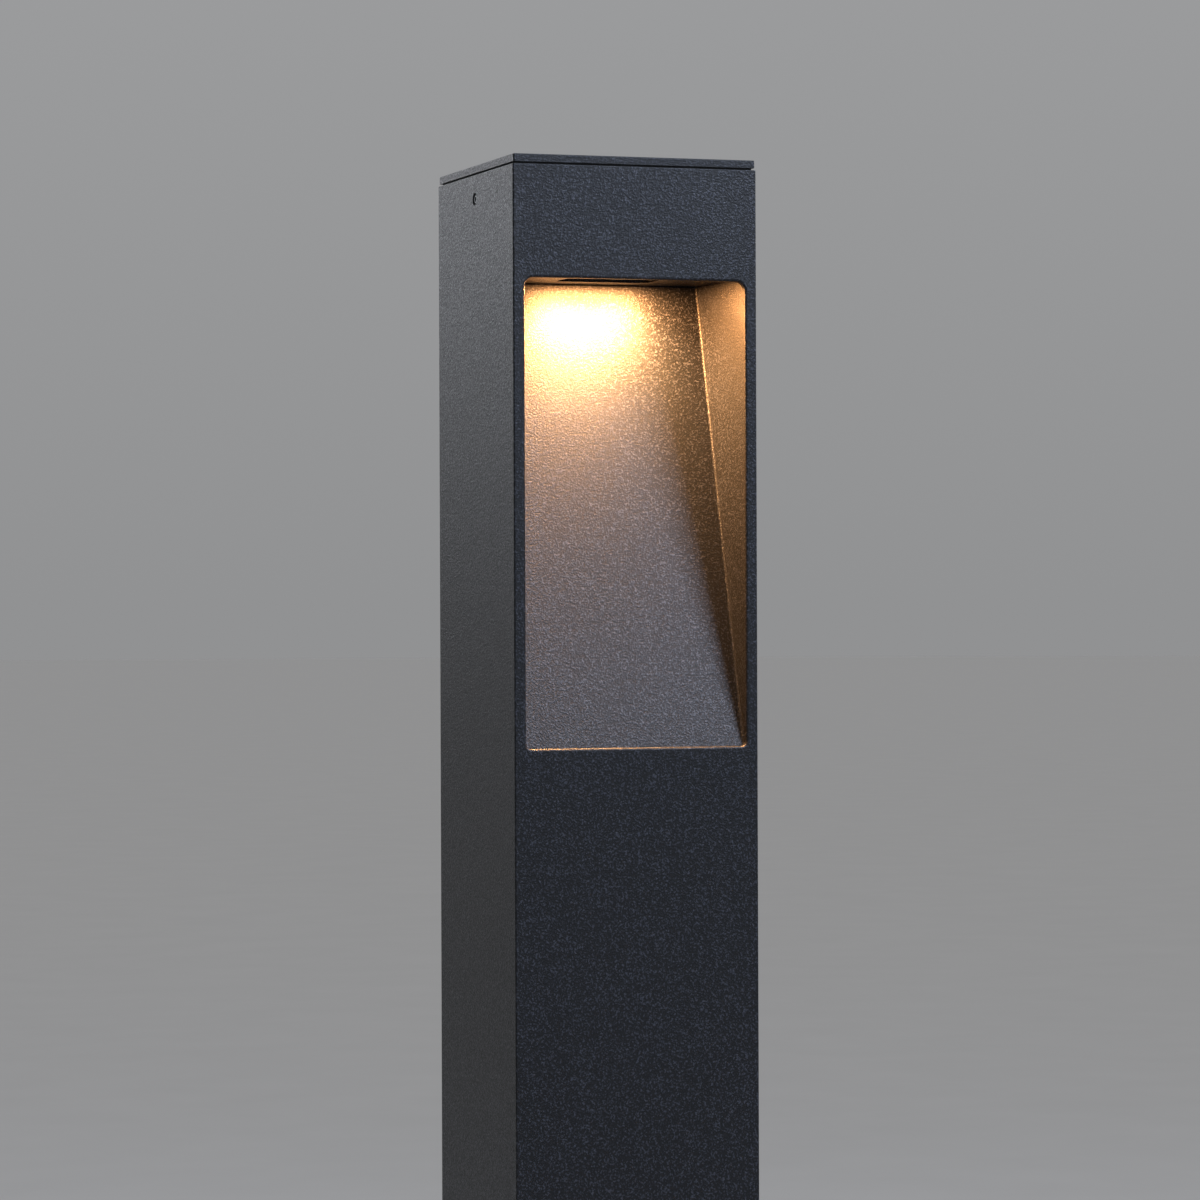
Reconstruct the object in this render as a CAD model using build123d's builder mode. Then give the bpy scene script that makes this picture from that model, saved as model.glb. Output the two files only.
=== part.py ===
"""Bollard light: a square aluminium column with a lit, sloping recess near its top.

Millimetres. The origin is at the middle of the foot plate's underside, +Z is up and the
lit recess looks towards -Y. Three groups come apart: the foot that is bolted down, the
column with everything fixed inside it, and the cap.
"""

from build123d import *
from math import atan, cos
import os

os.makedirs("parts", exist_ok=True)

# ---------------------------------------------------------------- driving dimensions

# Column
overall_height = 1000.0
column_width = 120.0
column_depth = 120.0
wall = 3.0
corner_radius = 0.8
edge_radius = 0.4

# Foot
plate_thickness = 8.0
plate_inset = 1.0
plate_corner = 2.0
anchor_spacing = 76.0
anchor_hole_radius = 5.5
cable_entry_radius = 20.0
spigot_clearance = 1.5
spigot_wall = 4.0
spigot_height = 100.0
spigot_lead_in = 1.5
foot_screw_height = 40.0

# Cap
cap_thickness = 3.6
cap_gap = 1.0
cap_inset = 0.45
cap_edge_radius = 0.5
skirt_clearance = 1.5
skirt_wall = 3.0
skirt_height = 20.0
gasket_setback = 1.8
cap_screw_drop = 11.5

# Grub screws, M5 by 4 with a 2.5 mm hexagon socket
grub_radius = 2.5
thread_fit = 0.05
grub_recess = 0.5
grub_socket = 2.5
grub_socket_depth = 2.2
grub_chamfer = 0.35
grub_mouth_radius = 3.2

# Window in the front wall and the recess behind it
window_drop = 52.5
window_height = 218.2
window_top_radius = 4.5
window_foot_radius = 2.5
rim_radius = 1.2
ceiling_rise = 2.2
recess_depth = 67.0
tray_sheet = 2.0
tray_side_gap = 0.7
tray_foot_flange = 12.0
seam_radius = 1.2

# Deck that closes the recess and carries the lamp
deck_sheet = 2.0
deck_rear_flange = 20.0
deck_front_flange = 10.0
deck_screw_spacing = 70.0

# Lamp: housing, glass, board, optic and heat sink, all centred on lamp_setback
lamp_setback = 40.0
lamp_opening = (46.0, 22.0)
lamp_opening_corner = 4.0
glass_size = (62.0, 34.0)
glass_corner = 3.0
glass_thickness = 3.0
glass_fit = 0.2
glass_gasket_thickness = 1.0
glass_gasket_width = 5.0
housing_size = (80.0, 48.0)
housing_height = 18.0
housing_cavity = (54.0, 28.0)
housing_corner = 3.0
stud_spacing = (70.0, 38.0)
stud_radius = 1.5
stud_hole_radius = 1.7
stud_length = 26.0
stud_nut = (5.5, 2.4)
sink_base = 4.0
fin_height = 14.0
fin_thickness = 1.6
fin_pitch = 7.0
fin_count = 9
pad_thickness = 0.5
pad_size = (36.0, 22.0)
board_size = (40.0, 24.0)
board_thickness = 1.6
board_screw_spacing = 32.0
board_screw_radius = 1.5
board_screw_grip = 5.0
board_screw_head = (2.8, 2.0)
board_corner = 1.0
chip_size = 3.5
chip_height = 0.8
chip_pitch = 6.0
lens_mouth_radius = 10.0
lens_throat_radius = 6.0
lens_gap = 0.3
lens_glass_gap = 1.0
lens_leg_radius = 1.0
lens_leg_circle = 8.0
lens_leg_count = 3
small_hole_fit = 0.1

# Leads and their glands: hexagon across flats, thread radius, thread length, dome length
led_lead_radius = 2.0
link_lead_radius = 3.0
supply_cable_radius = 5.0
lamp_gland_size = (12.0, 4.0, 8.0, 7.0)
link_gland_size = (15.0, 6.0, 8.0, 10.0)
supply_gland_size = (24.0, 10.0, 9.0, 16.0)
gland_hexagon_height = 4.0
gland_dome_inset = 0.8
gland_tip_radius = 1.5
link_nut_height = 4.0
supply_nut_height = 5.0
vent_cap = (5.0, 3.0)
vent_cap_chamfer = 0.8
vent_thread = (2.5, 8.0)
lead_fit = 0.1
lead_clearance = 0.3
lamp_gland_rise = 12.0
lead_tail = 11.0
grommet_radius = 7.5
grommet_waist = 5.4
grommet_flange = 1.2
grommet_hole_fit = 0.1
clip_count = 3
clip_spacing = 70.0
clip_drop = 50.0
clip_size = (10.0, 8.0)
clip_lip = 2.5

# Gear tray on the rear wall, with the driver above the terminal box
gear_sheet = 2.0
gear_width = 88.0
gear_length = 300.0
gear_drop = 215.0
gear_flange = 10.0
gear_flange_stop = 30.0
gear_screw_spacing = 60.0
gear_screw_edge = 12.0
driver_size = (44.0, 26.0, 90.0)
driver_corner = 2.0
driver_drop = 35.0
end_cap_length = 10.0
driver_tab = (24.0, 3.0, 11.0)
driver_boss = (5.5, 6.0)
box_size = (64.0, 36.0, 90.0)
box_wall = 3.0
box_corner = 3.0
box_rise = 25.0
box_post = 8.0
box_screw_reach = (20.0, 28.0)
box_gasket_thickness = 1.0
lid_thickness = 4.0
lid_screw_radius = 1.5
lid_screw_length = 14.0
lid_screw_head = (2.8, 1.8)
lid_chamfer = 1.0
block_size = (36.0, 16.0, 18.0)
block_poles = 3
block_pole_pitch = 12.0
block_well_radius = 2.6
block_screw_radius = 2.4
block_wire_radius = 2.0
block_well_depth = 6.0
block_screw_height = 3.0
block_slot = (0.8, 1.0)
supply_gland_setback = 19.0
earth_side = 33.0
earth_rise = 140.0
earth_radius = 2.5
earth_length = 14.0
earth_washer = (5.0, 1.0)
earth_nut_size = (8.0, 4.0)

# Countersunk M4 screws in the rear wall and pan head M4 screws inside
rear_screw_radius = 2.0
rear_head_radius = 3.9
rear_screw_length = 8.0
rear_socket = 2.5
rear_socket_depth = 1.4
pan_head = (3.8, 2.8)
pan_screw_radius = 2.0

# ---------------------------------------------------------------- worked out from them

column_foot = plate_thickness
column_top = overall_height - cap_thickness - cap_gap
column_length = column_top - column_foot
inner_width = column_width - 2 * wall
inner_depth = column_depth - 2 * wall
front = -column_depth / 2
front_inner = front + wall
rear = column_depth / 2
rear_inner = rear - wall
cap_base = column_top + cap_gap

window_top = column_top - window_drop
window_foot = window_top - window_height
tray_width = inner_width - 2 * tray_side_gap
window_width = tray_width - 2 * tray_sheet
ceiling = window_top + ceiling_rise
recess_back = front + recess_depth
slope = (recess_back - front_inner) / (ceiling - window_foot)
back_thickness = tray_sheet / cos(atan(slope))

deck_top = ceiling + deck_sheet
lamp_y = front + lamp_setback
glass_foot = deck_top + glass_gasket_thickness
glass_top = glass_foot + glass_thickness
housing_top = deck_top + housing_height
sink_top = housing_top + sink_base
board_foot = housing_top - pad_thickness - board_thickness
chip_foot = board_foot - chip_height

tray_face = rear_inner - gear_sheet
lead_y = tray_face - driver_size[1] / 2
lead_top = deck_top + lamp_gland_rise
lamp_gland_tip = lamp_y + housing_size[1] / 2 + gland_hexagon_height + lamp_gland_size[3]
lead_bend = min(lamp_gland_rise - grommet_flange, lead_y - lamp_gland_tip) - lead_clearance
gear_top = ceiling - gear_drop
gear_foot = gear_top - gear_length
driver_top = gear_top - driver_drop
driver_foot = driver_top - driver_size[2]
box_foot = gear_foot + box_rise
box_top = box_foot + box_size[2]
box_mid = (box_foot + box_top) / 2
box_front = tray_face - box_size[1]
box_floor = tray_face - box_wall
box_inner_width = box_size[0] - 2 * box_wall
box_inner_height = box_size[2] - 2 * box_wall
lid_back = box_front - box_gasket_thickness

cap_screw_height = column_top - cap_screw_drop
deck_screw_height = ceiling - deck_rear_flange / 2
gear_screw_heights = (gear_foot + gear_screw_edge, gear_top - gear_screw_edge)


def side_plane(side, height, distance):
    """A plane facing outwards on the -X or +X side, at a distance from the middle."""
    return Plane(origin=(side * distance, 0, height), x_dir=(0, 1, 0), z_dir=(side, 0, 0))


def rear_plane(x, height, y):
    """A plane facing +Y."""
    return Plane(origin=(x, y, height), x_dir=(-1, 0, 0), z_dir=(0, 1, 0))


def front_plane(x, height, y):
    """A plane facing -Y."""
    return Plane(origin=(x, y, height), x_dir=(1, 0, 0), z_dir=(0, -1, 0))


rear_screw_planes = [
    rear_plane(side * deck_screw_spacing / 2, deck_screw_height, rear) for side in (-1, 1)
] + [
    rear_plane(side * gear_screw_spacing / 2, height, rear)
    for side in (-1, 1)
    for height in gear_screw_heights
]

# ---------------------------------------------------------------- foot

with BuildPart() as foot_plate:
    with BuildSketch():
        RectangleRounded(
            column_width - 2 * plate_inset, column_depth - 2 * plate_inset, plate_corner
        )
    extrude(amount=plate_thickness)
    with Locations((0, 0, plate_thickness)):
        Hole(cable_entry_radius)
        with GridLocations(anchor_spacing, anchor_spacing, 2, 2):
            Hole(anchor_hole_radius)
foot_plate.part.label = "foot_plate"

spigot_width = inner_width - 2 * spigot_clearance
spigot_depth = inner_depth - 2 * spigot_clearance
with BuildPart() as foot_spigot:
    with BuildSketch(Plane.XY.offset(plate_thickness)):
        Rectangle(spigot_width, spigot_depth)
    extrude(amount=spigot_height)
    chamfer(foot_spigot.faces().sort_by(Axis.Z)[-1].edges(), spigot_lead_in)
    with BuildSketch(Plane.XY.offset(plate_thickness)):
        Rectangle(spigot_width - 2 * spigot_wall, spigot_depth - 2 * spigot_wall)
    extrude(amount=spigot_height, mode=Mode.SUBTRACT)
foot_spigot.part.label = "foot_spigot"

# ---------------------------------------------------------------- column tube

with BuildPart() as column_tube:
    with BuildSketch(Plane.XY.offset(column_foot)):
        Rectangle(column_width, column_depth)
    extrude(amount=column_length)
    fillet(column_tube.edges().filter_by(Axis.Z), corner_radius)
    fillet(column_tube.faces().sort_by(Axis.Z)[-1].edges(), edge_radius)
    with BuildSketch(Plane.XY.offset(column_foot)):
        Rectangle(inner_width, inner_depth)
    extrude(amount=column_length, mode=Mode.SUBTRACT)
    # The window, with its rim rounded towards the front.
    with BuildSketch(front_plane(0, window_foot + window_height / 2, front)) as window:
        Rectangle(window_width, window_height)
        fillet(window.vertices().group_by(Axis.Y)[-1], window_top_radius)
        fillet(window.vertices().group_by(Axis.Y)[0], window_foot_radius)
    extrude(amount=-wall, mode=Mode.SUBTRACT)
    rim = column_tube.faces().sort_by(Axis.Y)[0].inner_wires()[0]
    fillet(rim.edges(), rim_radius)
    # Threaded holes for the grub screws and countersunk ones in the rear wall.
    for side in (-1, 1):
        for height in (foot_screw_height, cap_screw_height):
            with Locations(side_plane(side, height, column_width / 2)):
                CounterSinkHole(grub_radius + thread_fit, grub_mouth_radius, wall, 90)
    with Locations(*rear_screw_planes):
        CounterSinkHole(
            rear_screw_radius + small_hole_fit, rear_head_radius + small_hole_fit, wall, 90
        )
column_tube.part.label = "column_tube"

# ---------------------------------------------------------------- recess and deck

with BuildPart() as recess_tray:
    with BuildSketch(Plane.YZ) as tray_outline:
        with BuildLine():
            Polyline(
                (front_inner, ceiling),
                (recess_back + back_thickness, ceiling),
                (front_inner + back_thickness, window_foot),
                (front_inner + back_thickness, window_foot - tray_foot_flange),
                (front_inner, window_foot - tray_foot_flange),
                close=True,
            )
        make_face()
    extrude(amount=tray_width / 2, both=True)
    with BuildSketch(Plane.YZ) as tray_hollow:
        with BuildLine():
            Polyline(
                (front_inner, ceiling),
                (recess_back, ceiling),
                (front_inner, window_foot),
                close=True,
            )
        make_face()
    extrude(amount=window_width / 2, both=True, mode=Mode.SUBTRACT)
    back_edge = Edge.make_line((0, front_inner, window_foot), (0, recess_back, ceiling))
    inner_seams = [
        edge
        for edge in recess_tray.edges().filter_by(Axis((0, 0, 0), back_edge % 0.5))
        if abs(abs(edge.center().X) - window_width / 2) < tray_sheet / 4
    ]
    fillet(inner_seams, seam_radius)
recess_tray.part.label = "recess_tray"

with BuildPart() as lamp_deck:
    with BuildSketch(Plane.XY.offset(ceiling)):
        Rectangle(tray_width, inner_depth)
    extrude(amount=deck_sheet)
    with BuildSketch(rear_plane(0, ceiling - deck_rear_flange / 2, rear_inner)):
        Rectangle(tray_width, deck_rear_flange)
    extrude(amount=-deck_sheet)
    with BuildSketch(front_plane(0, deck_top + deck_front_flange / 2, front_inner)):
        Rectangle(tray_width, deck_front_flange)
    extrude(amount=-deck_sheet)
    with BuildSketch(Plane.XY.offset(deck_top)):
        with Locations((0, lamp_y)):
            RectangleRounded(*lamp_opening, lamp_opening_corner)
        with Locations((0, lead_y)):
            Circle(grommet_waist + grommet_hole_fit)
    extrude(amount=-deck_sheet, mode=Mode.SUBTRACT)
    with BuildSketch(Plane.XY.offset(deck_top)):
        with Locations((0, lamp_y)):
            with GridLocations(*stud_spacing, 2, 2):
                Circle(stud_radius)
    extrude(amount=stud_length)
    with Locations(*[plane.offset(-wall) for plane in rear_screw_planes[:2]]):
        Hole(rear_screw_radius + small_hole_fit, deck_sheet)
lamp_deck.part.label = "lamp_deck"

with BuildPart() as deck_grommet:
    with BuildSketch(Plane.XY.offset(ceiling - grommet_flange)):
        with Locations((0, lead_y)):
            Circle(grommet_radius)
    extrude(amount=grommet_flange)
    with BuildSketch(Plane.XY.offset(ceiling)):
        with Locations((0, lead_y)):
            Circle(grommet_waist)
    extrude(amount=deck_sheet)
    with BuildSketch(Plane.XY.offset(deck_top)):
        with Locations((0, lead_y)):
            Circle(grommet_radius)
    extrude(amount=grommet_flange)
    with BuildSketch(Plane.XY.offset(deck_top + grommet_flange)):
        with Locations((0, lead_y)):
            Circle(led_lead_radius + lead_fit)
    extrude(amount=-deck_sheet - 2 * grommet_flange, mode=Mode.SUBTRACT)
deck_grommet.part.label = "deck_grommet"

# ---------------------------------------------------------------- lamp

with BuildPart() as glass_gasket:
    with BuildSketch(Plane.XY.offset(deck_top)):
        with Locations((0, lamp_y)):
            RectangleRounded(*glass_size, glass_corner)
            Rectangle(
                glass_size[0] - 2 * glass_gasket_width,
                glass_size[1] - 2 * glass_gasket_width,
                mode=Mode.SUBTRACT,
            )
    extrude(amount=glass_gasket_thickness)
glass_gasket.part.label = "glass_gasket"

with BuildPart() as lamp_glass:
    with BuildSketch(Plane.XY.offset(glass_foot)):
        with Locations((0, lamp_y)):
            RectangleRounded(*glass_size, glass_corner)
    extrude(amount=glass_thickness)
lamp_glass.part.label = "lamp_glass"

lamp_gland_seat = rear_plane(0, lead_top, lamp_y + housing_size[1] / 2)
vent_seat = Plane(
    origin=(-housing_size[0] / 2, lamp_y, lead_top), x_dir=(0, 1, 0), z_dir=(-1, 0, 0)
)
with BuildPart() as lamp_housing:
    with BuildSketch(Plane.XY.offset(deck_top)):
        with Locations((0, lamp_y)):
            RectangleRounded(*housing_size, housing_corner)
            with GridLocations(*stud_spacing, 2, 2):
                Circle(stud_hole_radius, mode=Mode.SUBTRACT)
    extrude(amount=housing_height)
    with BuildSketch(Plane.XY.offset(deck_top)):
        with Locations((0, lamp_y)):
            RectangleRounded(
                glass_size[0] + 2 * glass_fit, glass_size[1] + 2 * glass_fit, glass_corner
            )
    extrude(amount=glass_gasket_thickness + glass_thickness, mode=Mode.SUBTRACT)
    with BuildSketch(Plane.XY.offset(glass_top)):
        with Locations((0, lamp_y)):
            RectangleRounded(*housing_cavity, housing_corner)
    extrude(amount=housing_top - glass_top, mode=Mode.SUBTRACT)
    with Locations(lamp_gland_seat):
        Hole(lamp_gland_size[1] + small_hole_fit, housing_size[1] / 2)
    with Locations(vent_seat):
        Hole(vent_thread[0] + small_hole_fit, housing_size[0] / 2)
lamp_housing.part.label = "lamp_housing"

with BuildPart() as heat_sink:
    with BuildSketch(Plane.XY.offset(housing_top)):
        with Locations((0, lamp_y)):
            RectangleRounded(*housing_size, housing_corner)
            with GridLocations(*stud_spacing, 2, 2):
                Circle(stud_hole_radius, mode=Mode.SUBTRACT)
    extrude(amount=sink_base)
    with BuildSketch(Plane.XY.offset(sink_top)):
        with Locations((0, lamp_y)):
            with GridLocations(fin_pitch, 0, fin_count, 1):
                Rectangle(fin_thickness, housing_size[1])
    extrude(amount=fin_height)
    with BuildSketch(Plane.XY.offset(housing_top)):
        with Locations((0, lamp_y)):
            with GridLocations(board_screw_spacing, 0, 2, 1):
                Circle(board_screw_radius + small_hole_fit)
    extrude(amount=sink_base - small_hole_fit, mode=Mode.SUBTRACT)
heat_sink.part.label = "heat_sink"

with BuildPart() as thermal_pad:
    with BuildSketch(Plane.XY.offset(housing_top - pad_thickness)):
        with Locations((0, lamp_y)):
            Rectangle(*pad_size)
            with GridLocations(board_screw_spacing, 0, 2, 1):
                Circle(board_screw_radius + small_hole_fit, mode=Mode.SUBTRACT)
    extrude(amount=pad_thickness)
thermal_pad.part.label = "thermal_pad"

with BuildPart() as led_board:
    with BuildSketch(Plane.XY.offset(board_foot)):
        with Locations((0, lamp_y)):
            RectangleRounded(*board_size, board_corner)
            with GridLocations(board_screw_spacing, 0, 2, 1):
                Circle(board_screw_radius + small_hole_fit, mode=Mode.SUBTRACT)
    extrude(amount=board_thickness)
led_board.part.label = "led_board"

with BuildPart() as led_chips:
    with BuildSketch(Plane.XY.offset(chip_foot)):
        with Locations((0, lamp_y)):
            with GridLocations(chip_pitch, chip_pitch, 2, 2):
                Rectangle(chip_size, chip_size)
    extrude(amount=chip_height)
led_chips.part.label = "led_chips"

lens_foot = glass_top + lens_glass_gap
lens_top = chip_foot - lens_gap
with BuildPart() as lamp_lens:
    with BuildSketch(Plane.XY.offset(lens_foot)):
        with Locations((0, lamp_y)):
            Circle(lens_mouth_radius)
    with BuildSketch(Plane.XY.offset(lens_top)):
        with Locations((0, lamp_y)):
            Circle(lens_throat_radius)
    loft()
    with BuildSketch(Plane.XY.offset(lens_foot)):
        with Locations((0, lamp_y)):
            with PolarLocations(lens_leg_circle, lens_leg_count, start_angle=90):
                Circle(lens_leg_radius)
    extrude(amount=board_foot - lens_foot)
lamp_lens.part.label = "lamp_lens"

with BuildPart() as board_screws:
    with BuildSketch(Plane.XY.offset(board_foot)):
        with Locations((0, lamp_y)):
            with GridLocations(board_screw_spacing, 0, 2, 1):
                Circle(board_screw_head[0])
    extrude(amount=-board_screw_head[1])
    with BuildSketch(Plane.XY.offset(board_foot)):
        with Locations((0, lamp_y)):
            with GridLocations(board_screw_spacing, 0, 2, 1):
                Circle(board_screw_radius)
    extrude(amount=board_screw_grip)
board_screws.part.label = "board_screws"

with BuildPart() as housing_nuts:
    with BuildSketch(Plane.XY.offset(sink_top)):
        with Locations((0, lamp_y)):
            with GridLocations(*stud_spacing, 2, 2):
                RegularPolygon(stud_nut[0] / 2, 6, major_radius=False)
                Circle(stud_radius + thread_fit, mode=Mode.SUBTRACT)
    extrude(amount=stud_nut[1])
housing_nuts.part.label = "housing_nuts"

with BuildPart() as vent_plug:
    with BuildSketch(vent_seat):
        Circle(vent_cap[0])
    extrude(amount=vent_cap[1])
    chamfer(vent_plug.faces().sort_by(Axis.X)[0].edges(), vent_cap_chamfer)
    with BuildSketch(vent_seat):
        Circle(vent_thread[0])
    extrude(amount=-vent_thread[1])
vent_plug.part.label = "vent_plug"

# ---------------------------------------------------------------- glands and leads


def cable_gland(seat, size, bore_radius):
    """A gland on the seat plane, pointing along its normal, bored for its cable."""
    hexagon, thread_radius, thread_length, dome_length = size
    reach = gland_hexagon_height + dome_length
    with BuildPart() as gland:
        with BuildSketch(seat):
            RegularPolygon(hexagon / 2, 6, major_radius=False)
        extrude(amount=gland_hexagon_height)
        with BuildSketch(seat.offset(gland_hexagon_height)):
            Circle(hexagon / 2 - gland_dome_inset)
        extrude(amount=dome_length)
        outward = Axis(seat.origin, seat.z_dir)
        fillet(gland.faces().sort_by(outward)[-1].edges(), gland_tip_radius)
        with BuildSketch(seat):
            Circle(thread_radius)
        extrude(amount=-thread_length)
        with BuildSketch(seat.offset(reach)):
            Circle(bore_radius)
        extrude(amount=-reach - thread_length, mode=Mode.SUBTRACT)
    return gland


def gland_nut(seat, size, height):
    """The gland's lock nut, from the seat plane inwards."""
    with BuildPart() as nut:
        with BuildSketch(seat):
            RegularPolygon(size[0] / 2, 6, major_radius=False)
            Circle(size[1] + thread_fit, mode=Mode.SUBTRACT)
        extrude(amount=-height)
    return nut


lamp_gland = cable_gland(lamp_gland_seat, lamp_gland_size, led_lead_radius + lead_fit)
lamp_gland.part.label = "lamp_gland"

with BuildPart() as led_lead:
    with BuildLine():
        lead_path = FilletPolyline(
            (0, lead_y, driver_top + end_cap_length + driver_boss[1]),
            (0, lead_y, lead_top),
            (0, lamp_y + housing_size[1] / 2 - lead_tail, lead_top),
            radius=lead_bend,
        )
    with BuildSketch(Plane(origin=lead_path @ 0, z_dir=lead_path % 0)):
        Circle(led_lead_radius)
    sweep()
led_lead.part.label = "led_lead"

clip_reach = rear_inner - lead_y + led_lead_radius + clip_lip
with BuildPart() as lead_clips:
    for index in range(clip_count):
        clip_height = ceiling - clip_drop - index * clip_spacing
        with BuildSketch(rear_plane(0, clip_height, rear_inner)):
            Rectangle(*clip_size)
        extrude(amount=-clip_reach)
        with BuildSketch(Plane.XY.offset(clip_height + clip_size[1] / 2)):
            with Locations((0, lead_y)):
                Circle(led_lead_radius + lead_fit)
        extrude(amount=-clip_size[1], mode=Mode.SUBTRACT)
lead_clips.part.label = "lead_clips"

# ---------------------------------------------------------------- gear tray and driver

driver_screw_height = end_cap_length + driver_tab[2] / 2
driver_screw_seats = [
    front_plane(side * driver_tab[0] / 4, level, tray_face - driver_tab[1])
    for side in (-1, 1)
    for level in (driver_top + driver_screw_height, driver_foot - driver_screw_height)
]
box_screw_seats = [
    front_plane(side * box_screw_reach[0], box_mid + side * box_screw_reach[1], box_floor)
    for side in (-1, 1)
]

with BuildPart() as gear_tray:
    with BuildSketch(rear_plane(0, (gear_foot + gear_top) / 2, rear_inner)):
        Rectangle(gear_width, gear_length)
    extrude(amount=-gear_sheet)
    with BuildSketch(rear_plane(0, (gear_foot + gear_top) / 2, tray_face)):
        with GridLocations(gear_width - gear_sheet, 0, 2, 1):
            Rectangle(gear_sheet, gear_length - 2 * gear_flange_stop)
    extrude(amount=-gear_flange)
    with Locations(*[plane.offset(-wall) for plane in rear_screw_planes[2:]]):
        Hole(rear_screw_radius + small_hole_fit, gear_sheet)
    for seat in driver_screw_seats:
        with Locations(seat.offset(-driver_tab[1])):
            Hole(pan_screw_radius + small_hole_fit, gear_sheet)
    for seat in box_screw_seats:
        with Locations(seat.offset(-box_wall)):
            Hole(pan_screw_radius + small_hole_fit, gear_sheet)
gear_tray.part.label = "gear_tray"

driver_middle = tray_face - driver_size[1] / 2
with BuildPart() as driver_case:
    with BuildSketch(Plane.XY.offset(driver_foot)):
        with Locations((0, driver_middle)):
            RectangleRounded(driver_size[0], driver_size[1], driver_corner)
    extrude(amount=driver_size[2])
driver_case.part.label = "driver_case"

with BuildPart() as driver_end_caps:
    for level, up in ((driver_top, 1), (driver_foot, -1)):
        with BuildSketch(Plane.XY.offset(level)):
            with Locations((0, driver_middle)):
                RectangleRounded(driver_size[0], driver_size[1], driver_corner)
        extrude(amount=up * end_cap_length)
        with BuildSketch(Plane.XY.offset(level + up * end_cap_length)):
            with Locations((0, driver_middle)):
                Circle(driver_boss[0])
        extrude(amount=up * driver_boss[1])
        tab_height = level + up * driver_screw_height
        with BuildSketch(rear_plane(0, tab_height, tray_face)):
            Rectangle(driver_tab[0], driver_tab[2])
            with GridLocations(driver_tab[0] / 2, 0, 2, 1):
                Circle(pan_screw_radius + small_hole_fit, mode=Mode.SUBTRACT)
        extrude(amount=-driver_tab[1])
driver_end_caps.part.label = "driver_end_caps"


def pan_screws(seats, grip):
    """Pan head screws, one on each seat plane, with a hexagon socket in each head."""
    with BuildPart() as screws:
        with BuildSketch(*seats):
            Circle(pan_head[0])
        extrude(amount=pan_head[1])
        with BuildSketch(*seats):
            Circle(pan_screw_radius)
        extrude(amount=-grip)
        with BuildSketch(*[seat.offset(pan_head[1]) for seat in seats]):
            RegularPolygon(rear_socket / 2, 6, major_radius=False)
        extrude(amount=-rear_socket_depth, mode=Mode.SUBTRACT)
    return screws


driver_screws = pan_screws(driver_screw_seats, driver_tab[1] + gear_sheet)
driver_screws.part.label = "driver_screws"

# ---------------------------------------------------------------- terminal box

lid_screw_spacing = (box_size[0] - box_post, box_size[2] - box_post)
supply_y = tray_face - supply_gland_setback
supply_seat = Plane(origin=(0, supply_y, box_foot), x_dir=(1, 0, 0), z_dir=(0, 0, -1))
link_seat = Plane(origin=(0, lead_y, box_top), x_dir=(1, 0, 0), z_dir=(0, 0, 1))
with BuildPart() as terminal_box:
    with BuildSketch(front_plane(0, box_mid, tray_face)):
        RectangleRounded(box_size[0], box_size[2], box_corner)
    extrude(amount=box_size[1])
    with BuildSketch(front_plane(0, box_mid, box_front)):
        Rectangle(box_inner_width, box_inner_height)
        with GridLocations(*lid_screw_spacing, 2, 2):
            Rectangle(box_post, box_post, mode=Mode.SUBTRACT)
    extrude(amount=-(box_size[1] - box_wall), mode=Mode.SUBTRACT)
    with BuildSketch(front_plane(0, box_mid, box_front)):
        with GridLocations(*lid_screw_spacing, 2, 2):
            Circle(lid_screw_radius + small_hole_fit)
    extrude(amount=-lid_screw_length, mode=Mode.SUBTRACT)
    for seat in box_screw_seats:
        with Locations(seat):
            Hole(pan_screw_radius + small_hole_fit, box_wall)
    with Locations(supply_seat):
        Hole(supply_gland_size[1] + small_hole_fit, box_wall)
    with Locations(link_seat):
        Hole(link_gland_size[1] + small_hole_fit, box_wall)
terminal_box.part.label = "terminal_box"

box_screws = pan_screws(box_screw_seats, box_wall + gear_sheet)
box_screws.part.label = "box_screws"

with BuildPart() as box_gasket:
    with BuildSketch(front_plane(0, box_mid, box_front)):
        RectangleRounded(box_size[0], box_size[2], box_corner)
        Rectangle(box_inner_width, box_inner_height, mode=Mode.SUBTRACT)
        with GridLocations(*lid_screw_spacing, 2, 2):
            Rectangle(box_post, box_post)
            Circle(lid_screw_radius + small_hole_fit, mode=Mode.SUBTRACT)
    extrude(amount=box_gasket_thickness)
box_gasket.part.label = "box_gasket"

with BuildPart() as terminal_lid:
    with BuildSketch(front_plane(0, box_mid, lid_back)):
        RectangleRounded(box_size[0], box_size[2], box_corner)
        with GridLocations(*lid_screw_spacing, 2, 2):
            Circle(lid_screw_radius + small_hole_fit, mode=Mode.SUBTRACT)
    extrude(amount=lid_thickness)
    chamfer(terminal_lid.faces().sort_by(Axis.Y)[0].outer_wire().edges(), lid_chamfer)
terminal_lid.part.label = "terminal_lid"

with BuildPart() as lid_screws:
    with BuildSketch(front_plane(0, box_mid, lid_back - lid_thickness)):
        with GridLocations(*lid_screw_spacing, 2, 2):
            Circle(lid_screw_head[0])
    extrude(amount=lid_screw_head[1])
    with BuildSketch(front_plane(0, box_mid, lid_back - lid_thickness)):
        with GridLocations(*lid_screw_spacing, 2, 2):
            Circle(lid_screw_radius)
    extrude(amount=-lid_screw_length)
lid_screws.part.label = "lid_screws"

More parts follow.
